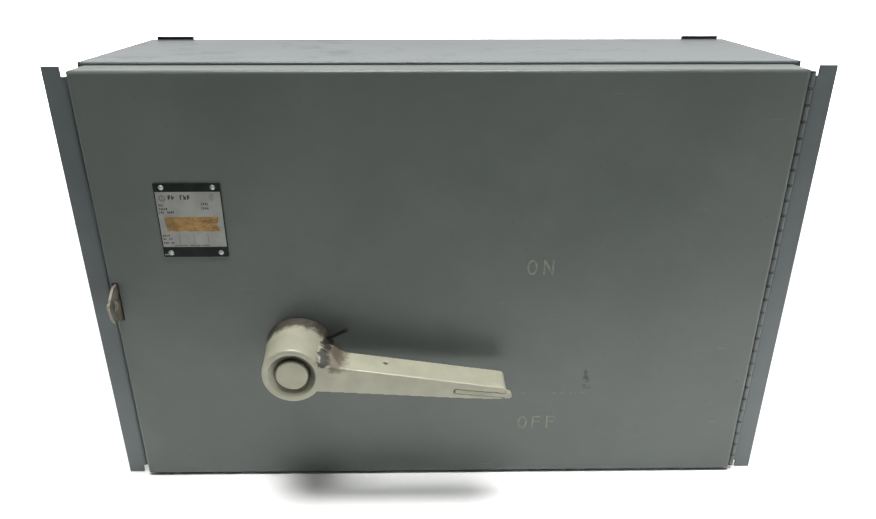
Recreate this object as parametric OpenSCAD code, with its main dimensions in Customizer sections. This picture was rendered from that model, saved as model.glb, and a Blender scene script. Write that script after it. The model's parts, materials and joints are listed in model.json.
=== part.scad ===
// Fused disconnect switch: a sheet-steel box with a full-width hinged door,
// a cast rotary handle, knife blades on an insulated crossbar and three
// cartridge fuses. Millimetres. X runs right as seen from the front,
// Y runs to the back, Z is up. The origin is the centre of the base.

/* [Enclosure] */
// Outside width across the two side walls
box_width = 560.6; // [540:0.1:700]
// Outside height of the box
box_height = 376; // [330:1:480]
// Depth from the front lips to the back sheet's outer face
box_depth = 158; // [140:1:200]
// Sheet thickness of the box and door
sheet = 2; // [1.2:0.1:3]
// How far the side walls run forward of the top and bottom lips
wall_lead = 24; // [20:1:40]
// Width of each outward-turned front flange
flange_reach = 16; // [10:0.5:30]
// Outside radius of the bend between side wall and flange
flange_bend = 4; // [3:0.5:6]
// Size of the relief notch at each end of that bend
notch = 7.5; // [4:0.5:12]
// Height of the turned-down lips on the top and bottom sheets
lip_height = 14; // [8:1:25]
// Depth of the cable opening in each side wall
cable_depth = 86; // [60:1:100]
// Height of the cable opening in each side wall
cable_height = 280; // [200:1:300]
// Width of the two rear mounting rails
rail_width = 35; // [25:1:45]
// Thickness of the rear mounting rails
rail_thickness = 3; // [2:0.5:5]
// Radius of the fixing holes in the rails
rail_hole_radius = 3.6; // [2.5:0.1:5]
// Distance of the fixing holes from the top and the base
rail_hole_inset = 38; // [25:1:60]

/* [Door] */
// Gap between the door and the left side wall
door_gap = 1.7; // [0.8:0.1:4]
// How far the door's top and bottom edges sit inside those of the box
door_inset = 2; // [1:0.5:5]
// Outside radius of the door's bent edges
door_bend = 3; // [2.1:0.1:5]
// Clear height of the hasp slot
hasp_slot_height = 35; // [30:1:45]
// Width of the hasp slot
hasp_slot_width = 5.4; // [4:0.1:8]
// Radius of the padlock hole in the hasp staple
padlock_radius = 4.2; // [3:0.1:5]

/* [Hinge] */
// Height of one hinge knuckle
knuckle = 12.7; // [10:0.1:26]
// Outside radius of the knuckles
knuckle_radius = 2.4; // [2:0.05:3]
// Radius of the hinge pin
hinge_pin_radius = 1.15; // [0.8:0.05:1.5]
// Thickness of the hinge leaves
leaf = 1.2; // [0.8:0.1:1.6]

/* [Handle] */
// Height of the hub's front above the door
hub_height = 45; // [35:1:60]
// Hub radius at its front rim
hub_front_radius = 24.5; // [20:0.5:30]
// Hub radius where it meets the door
hub_base_radius = 30.5; // [26:0.5:36]
// Distance from the hub axis to the arm's tip
arm_length = 175.5; // [130:0.5:200]
// Arm height at the hub
arm_root = 25.6; // [18:0.2:32]
// Arm height at its tip
arm_tip = 10.6; // [8:0.2:16]
// Arm thickness from front to back
arm_thickness = 26; // [16:0.5:30]
// Radius of the conical recess at the hub's face
recess_radius = 20; // [16:0.5:24]
// Radius of the cap in the recess
cap_radius = 13.2; // [8:0.1:14]
// Angle of the arm as stored, from the horizontal
arm_angle = -6.2; // [-21:0.1:20]
// Angle of the arm at ON
on_angle = 20.2; // [10:0.1:40]
// Angle of the arm at OFF
off_angle = -21.1; // [-40:0.1:-10]

/* [Switch] */
// Distance between the poles
pole_pitch = 104; // [95:1:125]
// Distance from the crossbar axis to the line jaws
blade_length = 84; // [76:1:90]
// Thickness of the switch blades
blade_thickness = 5; // [3:0.5:7]
// Radius of the insulated crossbar
crossbar_radius = 9; // [7:0.5:11]
// Swing of the blades between closed and open
blade_travel = 60; // [45:1:70]
// Thickness of the insulating base
base_thickness = 8; // [6:1:12]

/* [Fuses] */
// Fuse length over its blade terminals
fuse_length = 181; // [150:1:190]
// Radius of the fuse tube
fuse_radius = 27; // [20:0.5:32]
// Length of each fuse blade terminal
fuse_blade = 24; // [18:1:30]
// Radius of the cable bore in the lugs
lug_bore = 11; // [8:0.5:12]

/* [Nameplate] */
// Width of the nameplate
plate_width = 53; // [40:1:70]
// Height of the nameplate
plate_height = 63; // [40:1:80]

/* [Hidden] */
$fn = 64;
// Clearance between pieces that move past one another
gap = 0.3;
// Radial clearance of a running fit
running = 0.06;
// Small overlap that keeps a cut clean
cut = 1;
half_width = box_width / 2;
inner_x = half_width - sheet;
lip_y = -box_depth / 2;
back_y = box_depth / 2;
flange_y = lip_y - wall_lead;
middle_z = box_height / 2;
// Door and hinge barrel
door_right = inner_x - 2 * leaf - 1.3;
door_left = -inner_x + door_gap;
barrel_x = door_right + knuckle_radius + 0.4;
barrel_y = flange_y + 0.8 - knuckle_radius;
door_y = barrel_y - knuckle_radius - 2;
door_inner_y = door_y + sheet;
lip_gap = 4;
door_return = lip_y - lip_gap - door_y;
door_z = door_inset;
door_height = box_height - 2 * door_inset;
knuckles = 2 * floor((door_height / knuckle - 1) / 2) + 1;
barrel_z = door_z + (door_height - knuckles * knuckle) / 2;
leaf_start = barrel_y + knuckle_radius + gap;
leaf_end = door_y + door_return - 2;
// Handle
handle_x = -122.3;
handle_z = middle_z - 49.4;
hub_y = door_y - hub_height;
arm_back_y = hub_y + arm_thickness;
mid_angle = (on_angle + off_angle) / 2;
handle_off_mid = arm_angle - mid_angle;
shaft_radius = 7.5;
shaft_square = 11;
cap_y = hub_y + 5;
hub_hollow_y = door_y - 12;
// Lock slide
slide_thickness = 3.6;
slide_depth = 17;
slide_length = 42;
slide_end = arm_length + gap;
slide_drop = 1.2;
slide_travel = 18;
// Drive between handle and crossbar
tongue_y = door_y + 31;
tongue_depth = 14;
tongue_thickness = 6;
receiver_y = tongue_y + 4;
mech_plate_y = receiver_y + 26;
crank_y = mech_plate_y + 4 + 0.4;
finger_radius = 4;
fork_reach = 20.5;
// A little less than would match the fork at both ends of the travel, so
// that the finger strays from the fork's middle by the same amount both ways
crank_radius = 0.9535 * fork_reach * tan(blade_travel / 2) / sin((on_angle - off_angle) / 2);
ratio = blade_travel / (on_angle - off_angle);
crossbar_off_mid = -ratio * handle_off_mid;
// Current path
base_y = back_y - 19;
strap_y = base_y - 6;
blade_y = base_y - 50;
jaw_x = handle_x - blade_length;
line_lug_x = -half_width + 18.3;
load_lug_x = half_width - 18.3;
lug_length = 30;
// Back of the arc chutes, clear of the line lugs
chute_x = max(jaw_x - 24, line_lug_x + lug_length + 1.7);
load_clip_x = load_lug_x - lug_length - 49;
fuse_x = load_clip_x + fuse_blade / 2 - fuse_length / 2;
line_clip_x = fuse_x - fuse_length / 2 + fuse_blade / 2;
clip_opening = 6.4;
fuse_blade_reach = fuse_radius - 6.4;
leaf_thickness = 3;
poles = [middle_z - pole_pitch, middle_z, middle_z + pole_pitch];
// Ground lug, in line with the lower end of the right cable opening
ground_x = half_width - 32.3;
ground_y = blade_y - 16;
ground_z = middle_z - cable_height / 2 + 13;
ground_bore = 4.5;
// Nameplate
plate_x = handle_x - 77.6;
plate_z = handle_z + 118.4;
rivet_radius = 1.6;
// Hasp
hasp_x = door_left + 5;
hasp_z = middle_z - 2.5;

paint = [0.42, 0.46, 0.45];
top_paint = [0.62, 0.65, 0.66];
cast = [0.72, 0.73, 0.68];
steel = [0.66, 0.66, 0.64];
dark = [0.12, 0.12, 0.12];
copper = [0.78, 0.62, 0.5];
insulator = [0.45, 0.2, 0.16];
board = [0.72, 0.66, 0.55];

// ---------- shared shapes ----------

// A box given by its low and high corners
module block(low, high) {
  translate(low) cube(high - low);
}

// A cylinder along Y from y0 to y1
module rod_y(x, z, y0, y1, r) {
  translate([x, y0, z]) rotate([-90, 0, 0]) cylinder(h = y1 - y0, r = r);
}

// A cylinder along X from x0 to x1
module rod_x(y, z, x0, x1, r) {
  translate([x0, y, z]) rotate([0, 90, 0]) cylinder(h = x1 - x0, r = r);
}

// A cylinder along Z from z0 to z1
module rod_z(x, y, z0, z1, r) {
  translate([x, y, z0]) cylinder(h = z1 - z0, r = r);
}

// A hexagonal head along Y
module hex_y(x, z, y0, y1, across) {
  translate([x, y0, z]) rotate([-90, 0, 0])
    cylinder(h = y1 - y0, r = across / sqrt(3), $fn = 6);
}

// A flat shape drawn in X and Z, given thickness from y0 to y1
module plate_y(y0, y1) {
  translate([0, y1, 0]) rotate([90, 0, 0]) linear_extrude(y1 - y0) children();
}

// A rectangle with round corners between two corner points
module round_rect(low, high, r) {
  translate([low.x + r, low.y]) square([high.x - low.x - 2 * r, high.y - low.y]);
  translate([low.x, low.y + r]) square([high.x - low.x, high.y - low.y - 2 * r]);
  for (x = [low.x + r, high.x - r], y = [low.y + r, high.y - r])
    translate([x, y]) circle(r);
}

// A block whose front edges and corners are rounded
module front_rounded(low, high, r) {
  far = high.y + r;
  intersection() {
    translate([0, 0, low.z]) linear_extrude(high.z - low.z)
      intersection() {
        round_rect([low.x, low.y], [high.x, far], r);
        translate([low.x, low.y]) square([high.x - low.x, high.y - low.y]);
      }
    translate([low.x - cut, 0, 0]) rotate([90, 0, 90])
      linear_extrude(high.x - low.x + 2 * cut)
        round_rect([low.y, low.z], [far, high.z], r);
    plate_y(low.y - cut, high.y + cut)
      round_rect([low.x, low.z], [high.x, high.z], r);
  }
}

// Places its children at every pole
module at_poles() {
  for (z = poles) translate([0, 0, z]) children();
}

// Turns its children about the handle's axis; positive raises the arm
module about_handle(angle) {
  translate([handle_x, 0, handle_z]) rotate([0, -angle, 0]) children();
}

// Turns its children about the crossbar's axis; positive opens the blades
module about_crossbar(angle) {
  translate([handle_x, blade_y, 0]) rotate([0, 0, angle]) children();
}

// ---------- enclosure ----------

module back_panel() {
  color(paint) difference() {
    block([-inner_x, back_y - sheet, sheet], [inner_x, back_y, box_height - sheet]);
    for (x = rail_x_list(), z = rail_hole_z()) rod_y(x, z, back_y - 5, back_y + cut, 7);
    for (p = standoff_points()) rod_y(p.x, p.y, back_y - 5, back_y + cut, 2.2);
  }
}

function rail_x() = half_width - 22.8;
function rail_x_list() = [-rail_x(), rail_x()];
function rail_hole_z() = [rail_hole_inset, box_height - rail_hole_inset];
function standoff_points() = [
  for (side = [-1, 0, 1], z = [28, box_height - 28]) [side * (half_width - 44.3), z]
];

// The right side wall with its outward flange, bend and cable opening
module side_wall() {
  bend_x = inner_x + flange_bend;
  bend_y = flange_y + flange_bend;
  difference() {
    linear_extrude(box_height) union() {
      translate([inner_x, bend_y]) square([sheet, back_y - bend_y]);
      translate([bend_x, flange_y]) square([flange_reach + half_width - bend_x, sheet]);
      intersection() {
        difference() {
          translate([bend_x, bend_y]) circle(flange_bend);
          translate([bend_x, bend_y]) circle(flange_bend - sheet);
        }
        translate([inner_x - cut, flange_y - cut])
          square([flange_bend + cut, flange_bend + cut]);
      }
    }
    for (z = [-cut, box_height - notch])
      block([inner_x - cut, flange_y - cut, z],
            [bend_x + 1, max(flange_y + notch, lip_y), z + notch + cut]);
    translate([inner_x - cut, 0, 0]) rotate([90, 0, 90]) linear_extrude(sheet + 2 * cut)
      round_rect([blade_y - cable_depth / 2, middle_z - cable_height / 2],
                 [blade_y + cable_depth / 2, middle_z + cable_height / 2], 8);
  }
}

module right_side_panel() {
  color(paint) side_wall();
}

module left_side_panel() {
  color(paint) mirror([1, 0, 0]) side_wall();
}

// The top sheet with its turned-down front lip
module cover_sheet() {
  translate([-inner_x, 0, 0]) rotate([90, 0, 90]) linear_extrude(2 * inner_x)
    union() {
      difference() {
        translate([lip_y, box_height - lip_height])
          square([back_y - lip_y, lip_height]);
        translate([lip_y + sheet, box_height - lip_height - cut])
          square([back_y - lip_y, lip_height + cut - sheet]);
        translate([lip_y - cut, box_height - sheet])
          square([sheet + cut, sheet + cut]);
      }
      intersection() {
        translate([lip_y + sheet, box_height - sheet]) circle(sheet);
        translate([lip_y - cut, box_height - sheet]) square([sheet + cut, sheet + cut]);
      }
    }
}

module top_panel() {
  color(top_paint) cover_sheet();
}

module bottom_panel() {
  color(paint) translate([0, 0, box_height]) mirror([0, 0, 1]) cover_sheet();
}

module mounting_rails() {
  color(dark) difference() {
    for (x = rail_x_list())
      block([x - rail_width / 2, back_y, 2],
            [x + rail_width / 2, back_y + rail_thickness, box_height + 2.5]);
    for (x = rail_x_list(), z = rail_hole_z())
      rod_y(x, z, back_y - cut, back_y + rail_thickness + cut, rail_hole_radius);
  }
}

// Staple plate that comes through the door's slot, with its padlock hole
module hasp_staple() {
  color(steel) {
    difference() {
      translate([hasp_x - 1, 0, 0]) rotate([90, 0, 90]) linear_extrude(2) union() {
        polygon([
          [door_y - 19, hasp_z + 2], [door_y - 16.6, hasp_z - 9],
          [door_y - 13.6, hasp_z - 14], [door_y, hasp_z - 17],
          [lip_y + 12, hasp_z - 17], [lip_y + 12, hasp_z + 15],
          [door_y, hasp_z + 15], [door_y - 6, hasp_z + 14],
          [door_y - 14.5, hasp_z + 7.5]
        ]);
        translate([door_y - 16.4, hasp_z + 2.6]) circle(2.65);
      }
      rod_x(door_y - 8.2, hasp_z - 1, hasp_x - 2, hasp_x + 2, padlock_radius);
    }
    block([-inner_x, lip_y + 10, hasp_z - 17], [hasp_x - 1, lip_y + 12, hasp_z + 15]);
    block([-inner_x, lip_y + 12, hasp_z - 17], [-inner_x + 2, lip_y + 32, hasp_z + 15]);
  }
}

// ---------- hinge ----------

// Every second knuckle, starting from the given one
module knuckle_row(first) {
  for (i = [first : 2 : knuckles - 1])
    rod_z(barrel_x, barrel_y, barrel_z + i * knuckle + gap / 2,
          barrel_z + (i + 1) * knuckle - gap / 2, knuckle_radius);
}

// The tongue of leaf that joins a leaf to each of its knuckles
module knuckle_tabs(first, x0) {
  for (i = [first : 2 : knuckles - 1])
    block([x0, barrel_y, barrel_z + i * knuckle + gap / 2],
          [x0 + leaf, leaf_start + 0.5, barrel_z + (i + 1) * knuckle - gap / 2]);
}

module hinge_leaf(first, x0) {
  difference() {
    union() {
      knuckle_row(first);
      knuckle_tabs(first, x0);
      block([x0, leaf_start, barrel_z], [x0 + leaf, leaf_end, barrel_z + knuckles * knuckle]);
    }
    rod_z(barrel_x, barrel_y, barrel_z - cut, barrel_z + knuckles * knuckle + cut,
          hinge_pin_radius + running);
  }
}

module box_hinge_leaf() {
  color(paint) hinge_leaf(0, inner_x - leaf);
}

module door_hinge_leaf() {
  color(paint) hinge_leaf(1, door_right);
}

module hinge_pin() {
  color(steel) rod_z(barrel_x, barrel_y, barrel_z + 0.5,
                     barrel_z + knuckles * knuckle - 0.5, hinge_pin_radius);
}

// ---------- door ----------

module door_panel() {
  color(paint) difference() {
    front_rounded([door_left, door_y, door_z],
                  [door_right, door_y + door_return, door_z + door_height], door_bend);
    front_rounded([door_left + sheet, door_y + sheet, door_z + sheet],
                  [door_right - sheet, door_y + door_return + cut,
                   door_z + door_height - sheet], door_bend - sheet);
    block([hasp_x - hasp_slot_width / 2, door_y - cut, hasp_z - 1 - hasp_slot_height / 2],
          [hasp_x + hasp_slot_width / 2, door_inner_y + cut,
           hasp_z - 1 + hasp_slot_height / 2]);
    rod_y(handle_x, handle_z, door_y - cut, door_inner_y + cut, 12.05);
    for (p = rivet_points()) rod_y(p.x, p.y, door_y - cut, door_inner_y + cut, rivet_radius);
  }
}

function rivet_points() = [
  for (x = [-1, 1], z = [-1, 1])
    [plate_x + x * (plate_width / 2 - 6.3), plate_z + z * (plate_height / 2 - 3.8)]
];

module nameplate() {
  color(dark) difference() {
    plate_y(door_y - 0.6, door_y)
      round_rect([plate_x - plate_width / 2, plate_z - plate_height / 2],
                 [plate_x + plate_width / 2, plate_z + plate_height / 2], 1.5);
    for (p = rivet_points()) rod_y(p.x, p.y, door_y - cut, door_y + cut, rivet_radius);
  }
}

module rating_sticker() {
  color([0.6, 0.48, 0.3])
    block([plate_x - plate_width / 2 + 5.1, door_y - 0.75, plate_z - 9.2],
          [plate_x + plate_width / 2 - 4.5, door_y - 0.6, plate_z + 3.4]);
}

module nameplate_rivets() {
  color(steel) for (p = rivet_points()) {
    rod_y(p.x, p.y, door_y - 0.6, door_inner_y + 1.2, rivet_radius);
    translate([p.x, door_y - 0.6, p.y]) rotate([90, 0, 0]) intersection() {
      translate([0, 0, -1.4]) sphere(2.5);
      cylinder(h = 1.2, r = 2.2);
    }
  }
}

module handle_bearing() {
  color(steel) difference() {
    union() {
      rod_y(handle_x, handle_z, door_y - 2, door_y, 17);
      rod_y(handle_x, handle_z, door_y, door_inner_y + 10, 12);
    }
    rod_y(handle_x, handle_z, door_y - 3, door_inner_y + 11, shaft_radius + running);
  }
}

module bearing_nut() {
  color(steel) difference() {
    hex_y(handle_x, handle_z, door_inner_y, door_inner_y + 6, 34);
    rod_y(handle_x, handle_z, door_inner_y - cut, door_inner_y + 7, 12);
  }
}

// Bracket inside the door that the drive's hook holds while the switch is ON
module door_catch() {
  x0 = handle_x - 45;
  z0 = handle_z - 20;
  color(steel) {
    block([x0 - 16, door_inner_y, z0], [x0, door_inner_y + 2, z0 + 12]);
    block([x0 - 2, door_inner_y + 2, z0], [x0, receiver_y + 18, z0 + 12]);
    block([x0, receiver_y + 15, z0], [x0 + 11, receiver_y + 18, z0 + 12]);
    rod_y(x0 - 9, z0 + 6, door_inner_y + 2, door_inner_y + 4, 3.4);
  }
}

// ---------- handle ----------

// The hub as a turned shape, with its axis along Z and its front upwards
module hub_body() {
  rim = 1.6;
  rotate_extrude() difference() {
    union() {
      polygon([
        [0, 0.4], [hub_base_radius, 0.4], [hub_base_radius - 0.3, 1.6],
        [hub_base_radius - 1.6, 4.5], [hub_base_radius - 2.4, 9],
        [hub_front_radius, hub_height - rim], [hub_front_radius - rim, hub_height],
        [0, hub_height]
      ]);
      translate([hub_front_radius - rim, hub_height - rim]) circle(rim);
    }
    translate([-50, 0]) square([50, 100]);
    polygon([[0, hub_height - 5], [cap_radius + 0.8, hub_height - 5],
             [recess_radius, hub_height + 0.01], [0, hub_height + 0.01]]);
  }
}

// Arm outline in X and Z from the hub axis, pointing along X
module arm_outline() {
  tip = arm_length;
  difference() {
    union() {
      polygon([
        [0, arm_root / 2], [22, arm_root / 2 - 0.4], [tip - 3, arm_tip / 2 + 1],
        [tip, arm_tip / 2 - 2], [tip, -arm_tip / 2 + 3.2],
        [tip - 3.6, -arm_tip / 2 + 0.4], [tip - 27, -arm_tip / 2 - 1.6],
        [22, -arm_root / 2 + 0.4], [0, -arm_root / 2]
      ]);
      translate([tip - 3, arm_tip / 2 - 2]) circle(3);
    }
  }
}

// Outline of the web in the corner between hub and arm
module arm_fillet() {
  difference() {
    polygon([[8, 0], [45.5, 0], [45.5, arm_root / 2 - 1.6], [31, arm_root / 2 + 4.7],
             [20, arm_root / 2 + 5.5], [8, arm_root / 2 + 3]]);
    translate([45.5, arm_root / 2 + 19.5]) circle(21);
  }
}

// The web, whose top slopes down towards the front
module arm_web() {
  difference() {
    plate_y(hub_y + 2, arm_back_y) arm_fillet();
    translate([0, hub_y + 2, arm_root / 2 - 1]) rotate([30, 0, 0])
      translate([-1, -30, 0]) cube([60, 70, 30]);
  }
}

module handle_casting() {
  boss = 13;
  color(cast) about_handle(arm_angle) difference() {
    union() {
      translate([0, door_y, 0]) rotate([90, 0, 0]) hub_body();
      plate_y(hub_y, arm_back_y) arm_outline();
      arm_web();
    }
    // Conical recess, cut through hub and arm alike
    translate([0, cap_y, 0]) rotate([90, 0, 0])
      cylinder(h = 5.01, r1 = cap_radius + 0.8, r2 = recess_radius + 0.01);
    // Cap pocket, screw pocket and square shaft hole
    rod_y(0, 0, cap_y - 0.01, cap_y + 3, cap_radius + 0.05);
    rod_y(0, 0, cap_y + 2, cap_y + 9, 9);
    block([-shaft_square / 2 - 0.05, cap_y + 8, -shaft_square / 2 - 0.05],
          [shaft_square / 2 + 0.05, door_y + cut, shaft_square / 2 + 0.05]);
    // Hollow underside around the central boss
    difference() {
      rod_y(0, 0, hub_hollow_y, door_y + cut, 21);
      rod_y(0, 0, hub_hollow_y - cut, door_y - 3, boss);
    }
    rod_y(0, 0, door_y - 3, door_y + cut, boss + cut);
    // Slot for the lock slide, open at the front and the tip
    block([slide_end - slide_length - 1, hub_y - cut, -slide_thickness / 2 - 0.3 - slide_drop],
          [arm_length + cut, hub_y + slide_depth + 0.4,
           slide_thickness / 2 + 0.3 - slide_drop]);
    // Blind hole for the slide's cross pin, drilled from below
    rod_z(slide_end - slide_length + 7, hub_y + 9, -20, 5, 1.5);
    // Small blind hole in the top edge
    translate([75, 0, 0]) rod_z(0, arm_back_y - 9.6, 2, 20, 2);
    // Bore for the interlock pin
    rotate([0, -interlock_angle(), 0]) rod_x(door_y - 6.5, 0, 15, 40, 1.8 + running);
    rotate([0, -interlock_angle(), 0])
      rod_x(door_y - 6.5, 0, 12, hub_base_radius - 5.5, 3);
  }
}

// Direction of the interlock pin, measured from the arm
function interlock_angle() = 27.5 - arm_angle;

module handle_cap() {
  color(cast) about_handle(arm_angle) union() {
    rod_y(0, 0, hub_y + 1.6, cap_y + 2, cap_radius);
    translate([0, hub_y + 1.6, 0]) rotate([90, 0, 0])
      cylinder(h = 0.7, r1 = cap_radius, r2 = cap_radius - 0.9);
  }
}

module handle_screw() {
  color(steel) about_handle(arm_angle) union() {
    rod_y(0, 0, cap_y + 3.5, cap_y + 7.2, 5.5);
    rod_y(0, 0, cap_y + 7.2, cap_y + 20, 3);
  }
}

module operating_shaft() {
  color(steel) about_handle(arm_angle) difference() {
    union() {
      block([-shaft_square / 2, cap_y + 9, -shaft_square / 2],
            [shaft_square / 2, door_y - 3, shaft_square / 2]);
      rod_y(0, 0, door_y - 3, tongue_y, shaft_radius);
    }
    rod_y(0, 0, cap_y + 7, cap_y + 20, 3);
  }
}

module drive_tongue() {
  color(steel) about_handle(arm_angle) difference() {
    union() {
      rod_y(0, 0, tongue_y - 8, tongue_y, 13);
      block([-14, tongue_y, -tongue_thickness / 2],
            [14, tongue_y + tongue_depth, tongue_thickness / 2]);
    }
    rod_y(0, 0, tongue_y - 9, tongue_y, shaft_radius);
  }
}

module slide_pin() {
  color(steel) about_handle(arm_angle)
    rod_z(slide_end - slide_length + 7, hub_y + 9, -arm_tip / 2 - 1.5, 4.8, 1.5);
}

module lock_slide() {
  z0 = -slide_drop - slide_thickness / 2;
  z1 = -slide_drop + slide_thickness / 2;
  x0 = slide_end - slide_length;
  color(cast) about_handle(arm_angle) difference() {
    union() {
      block([x0, hub_y + 0.4, z0], [slide_end, hub_y + slide_depth, z1]);
      block([slide_end, hub_y + 0.4, z0 - 1], [slide_end + 1.4, hub_y + 5.4, z1 + 1]);
      rod_y(slide_end + 2.6, -slide_drop, hub_y + 0.4, hub_y + 5.4, 2.4);
    }
    // Elongated hole for the cross pin and round hole for a padlock
    plate_z(z0 - cut, z1 + cut) translate([x0 + 7, hub_y + 9]) {
      circle(1.9);
      translate([-slide_travel, 0]) circle(1.9);
      translate([-slide_travel, -1.9]) square([slide_travel, 3.8]);
    }
    rod_z(slide_end - 9, hub_y + 9.5, z0 - cut, z1 + cut, 4.2);
  }
}

// A flat shape drawn in X and Y, given height from z0 to z1
module plate_z(z0, z1) {
  translate([0, 0, z0]) linear_extrude(z1 - z0) children();
}

module interlock_pin() {
  color(dark) about_handle(arm_angle) rotate([0, -interlock_angle(), 0]) union() {
    rod_x(door_y - 6.5, 0, hub_base_radius - 10, 46, 1.8);
    rod_x(door_y - 6.5, 0, hub_base_radius - 8, hub_base_radius - 6, 2.8);
    translate([46, door_y - 6.5, 0]) sphere(2.1);
  }
}

// ---------- drive ----------

module drive_receiver() {
  color(steel) {
    about_handle(arm_angle) difference() {
      union() {
        rod_y(0, 0, receiver_y, receiver_y + 14, 22);
        rod_y(0, 0, receiver_y + 14, crank_y + 7.4, 12);
      }
      // Slot for the tongue
      block([-25, receiver_y - cut, -tongue_thickness / 2 - 0.5],
            [25, tongue_y + tongue_depth + 0.8, tongue_thickness / 2 + 0.5]);
    }
    // Hook that holds the door catch
    about_handle(handle_off_mid)
      block([-40, receiver_y + 8, -5], [-18, receiver_y + 12, 5]);
  }
}

// A lever whose finger ends in a ball between the prongs of the crossbar's fork
module receiver_crank() {
  ball_y = blade_y - fork_reach;
  color(steel) about_handle(handle_off_mid) difference() {
    union() {
      plate_y(crank_y, crank_y + 6) {
        circle(18);
        translate([0, crank_radius]) circle(7);
        translate([-7, 0]) square([14, crank_radius]);
      }
      rod_y(0, crank_radius, crank_y + 6, ball_y, finger_radius / 2);
      translate([0, ball_y, crank_radius]) sphere(finger_radius);
    }
    rod_y(0, 0, crank_y - cut, crank_y + 7, 12);
  }
}

module crank_ring() {
  color(dark) rod_ring(crank_y + 6, crank_y + 7.4, 12, 14.5);
}

// A ring about the handle's axis
module rod_ring(y0, y1, inner, outer) {
  difference() {
    rod_y(handle_x, handle_z, y0, y1, outer);
    rod_y(handle_x, handle_z, y0 - cut, y1 + cut, inner);
  }
}

module torsion_spring() {
  color(steel) for (i = [0 : 2])
    translate([handle_x, receiver_y + 16 + 3.4 * i, handle_z]) rotate([90, 0, 0])
      rotate_extrude() translate([14, 0]) circle(1.5);
}

module mechanism_plate() {
  color(steel) difference() {
    plate_y(mech_plate_y, mech_plate_y + 4)
      round_rect([handle_x - 43, handle_z - 30], [handle_x + 43, handle_z + 30], 5);
    rod_y(handle_x, handle_z, mech_plate_y - cut, mech_plate_y + 5, 12 + running);
    for (p = post_points()) rod_y(p.x, p.y, mech_plate_y - cut, mech_plate_y + 5, 2.6);
  }
}

function post_points() = [
  for (x = [-35, 35], z = [-22, 22]) [handle_x + x, handle_z + z]
];

module mechanism_posts() {
  color(steel) for (p = post_points()) difference() {
    rod_y(p.x, p.y, mech_plate_y + 4, base_y, 6);
    rod_y(p.x, p.y, mech_plate_y + 3, mech_plate_y + 14, 2.5);
  }
}

module post_screws() {
  color(steel) for (p = post_points()) {
    rod_y(p.x, p.y, mech_plate_y - 3.2, mech_plate_y, 4.6);
    rod_y(p.x, p.y, mech_plate_y, mech_plate_y + 13, 2.5);
  }
}

// ---------- crossbar and blades ----------

function bearing_z() = [poles[0] - 36, poles[2] + 36];

module crossbar() {
  color(insulator) about_crossbar(crossbar_off_mid)
    cylinder_z(bearing_z()[0] - 7, bearing_z()[1] + 7, crossbar_radius);
}

// A cylinder on the local Z axis
module cylinder_z(z0, z1, r) {
  translate([0, 0, z0]) cylinder(h = z1 - z0, r = r);
}

module crossbar_fork() {
  z0 = handle_z + crank_radius - 10;
  prong = 5;
  prong_end = fork_reach + 5.5;
  inside = finger_radius + 0.9;
  color(steel) about_crossbar(crossbar_off_mid) translate([0, 0, z0]) difference() {
    linear_extrude(20) {
      circle(crossbar_radius + 4);
      for (s = [-1, 1])
        translate([s * (inside + prong / 2) - prong / 2, -prong_end])
          square([prong, prong_end]);
    }
    translate([0, 0, -cut]) cylinder(h = 22, r = crossbar_radius);
    translate([-inside, -prong_end - cut, -cut])
      cube([2 * inside, prong_end + cut - crossbar_radius - 4.5, 22]);
  }
}

module switch_blades() {
  color(copper) about_crossbar(crossbar_off_mid + blade_travel / 2) for (z = poles)
    translate([0, 0, z - blade_thickness / 2]) difference() {
      linear_extrude(blade_thickness) {
        circle(17);
        translate([-blade_length - 1, -9]) square([blade_length, 18]);
        translate([-blade_length - 1, 0]) circle(9);
      }
      translate([0, 0, -cut]) cylinder(h = blade_thickness + 2, r = crossbar_radius);
    }
}

module crossbar_bearings() {
  r = crossbar_radius + 6;
  color(insulator) for (z = bearing_z()) difference() {
    union() {
      translate([0, 0, z - 5]) linear_extrude(10) {
        translate([handle_x, blade_y]) circle(r);
        translate([handle_x - r, blade_y]) square([2 * r, base_y - blade_y]);
      }
      block([handle_x - r - 13, base_y - 7, z - 5], [handle_x + r + 13, base_y, z + 5]);
    }
    rod_z(handle_x, blade_y, z - 6, z + 6, crossbar_radius + running);
  }
}

// ---------- base and current path ----------

module mounting_base() {
  color(board) difference() {
    block([-half_width + 12, base_y, 14],
          [half_width - 12, base_y + base_thickness, box_height - 14]);
    for (p = standoff_points()) rod_y(p.x, p.y, base_y - cut, base_y + 10, 2.6);
  }
}

module base_standoffs() {
  color(steel) for (p = standoff_points()) difference() {
    rod_y(p.x, p.y, base_y + base_thickness, back_y - sheet, 7);
    rod_y(p.x, p.y, base_y, back_y, 2.5);
  }
}

module base_screws() {
  color(steel) for (p = standoff_points()) {
    rod_y(p.x, p.y, base_y - 3.2, base_y, 4.8);
    rod_y(p.x, p.y, base_y, base_y + base_thickness + 6, 2.5);
  }
}

// Copper bar on the base from x0 to x1 at every pole
module strap(x0, x1) {
  color(copper) at_poles() block([x0, strap_y, -19], [x1, base_y, 19]);
}

// Two spring leaves that grip a blade; opening is the space between them
module jaw_pair(x0, x1, front_y, opening) {
  inner = opening / 2;
  outer = inner + leaf_thickness;
  block([x0, strap_y - 3, -outer - 6], [x1, strap_y, outer + 6]);
  for (s = [0, 1]) mirror([0, 0, s]) {
    block([x0, front_y + 8, inner], [x1, strap_y - 3, outer]);
    translate([x0, 0, 0]) rotate([90, 0, 90]) linear_extrude(x1 - x0)
      polygon([[front_y, inner + 3], [front_y, outer + 3],
               [front_y + 8, outer], [front_y + 8, inner]]);
  }
}

module line_straps() {
  strap(line_lug_x, jaw_x + 12);
}

module hinge_straps() {
  strap(handle_x - 17, line_clip_x + 15);
}

module load_straps() {
  strap(load_clip_x - 15, load_lug_x);
}

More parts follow.
